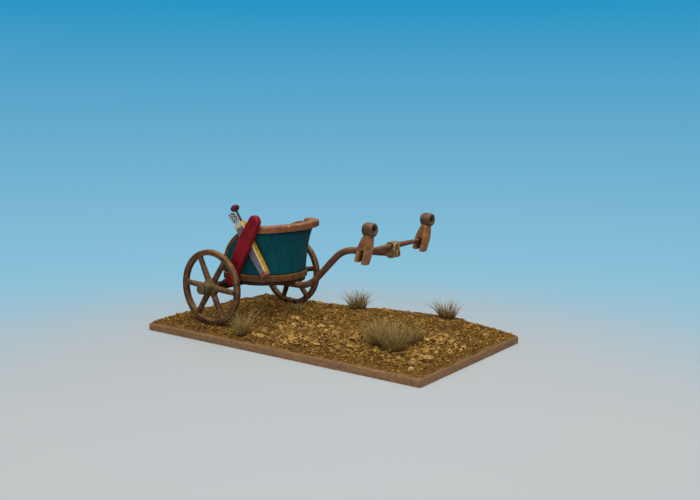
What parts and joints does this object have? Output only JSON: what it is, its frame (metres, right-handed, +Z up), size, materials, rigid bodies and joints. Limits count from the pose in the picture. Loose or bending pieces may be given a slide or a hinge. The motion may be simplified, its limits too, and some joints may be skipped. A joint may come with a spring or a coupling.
{
  "type": "miniature war chariot on a scenic plinth",
  "caption": "Painted metal miniature of a light war chariot with turning spoked wheels, curved cab, pole, yoke, bow case and quiver, fixed on a scenic rectangular plinth.",
  "frame": {"origin": "centre of the plinth's underside", "axes": "+X towards the yoke, +Y to the chariot's far (left) side, +Z up"},
  "size_m": [0.09, 0.05, 0.0362],
  "materials": {
    "board": "painted flat",
    "ground": "painted sand and filler",
    "stone": "painted, drybrushed",
    "dry_grass": "static grass fibres",
    "brown_paint": "matt, drybrushed edges",
    "dark_brown_paint": "matt",
    "teal_paint": "matt",
    "nave_paint": "matt olive brown",
    "crimson_paint": "matt",
    "case_paint": "grey-lilac with cream and yellow bands",
    "orange_paint": "matt",
    "fletching_paint": "black and white checks",
    "red_brown_paint": "matt",
    "cord_paint": "matt"
  },
  "bodies": {
    "chariot_on_plinth": {"arrows": "fletching_paint", "axle": "dark_brown_paint", "bow_case": "crimson_paint", "cab_floor": "brown_paint", "cab_skin": "teal_paint", "far_axle_cap": "nave_paint", "far_side_rail": "brown_paint", "far_yoke_saddle": "brown_paint", "floor_bearer": "dark_brown_paint", "floor_frame": "brown_paint", "grass_tufts": "dry_grass", "ground": "ground", "knobbed_rod": "red_brown_paint", "near_axle_cap": "nave_paint", "near_side_rail": "brown_paint", "near_yoke_saddle": "brown_paint", "plinth_plate": "board", "pole": "brown_paint", "pole_lashing": "cord_paint", "quiver": "case_paint", "quiver_tip": "orange_paint", "stones": "stone", "top_rail": "brown_paint", "yoke": "brown_paint"},
    "near_wheel": {"near_wheel_rim": "brown_paint", "near_wheel_spokes": "brown_paint", "near_nave": "nave_paint"},
    "far_wheel": {"far_wheel_rim": "brown_paint", "far_wheel_spokes": "brown_paint", "far_nave": "nave_paint"}
  },
  "joints": [
    {"name": "near_wheel_spin", "type": "hinge", "parent": "chariot_on_plinth", "child": "near_wheel", "pos_m": [-0.0279, -0.0173, 0.01315], "axis": [0, 1, 0], "continuous": true},
    {"name": "far_wheel_spin", "type": "hinge", "parent": "chariot_on_plinth", "child": "far_wheel", "pos_m": [-0.0279, 0.0173, 0.01315], "axis": [0, 1, 0], "continuous": true}
  ]
}
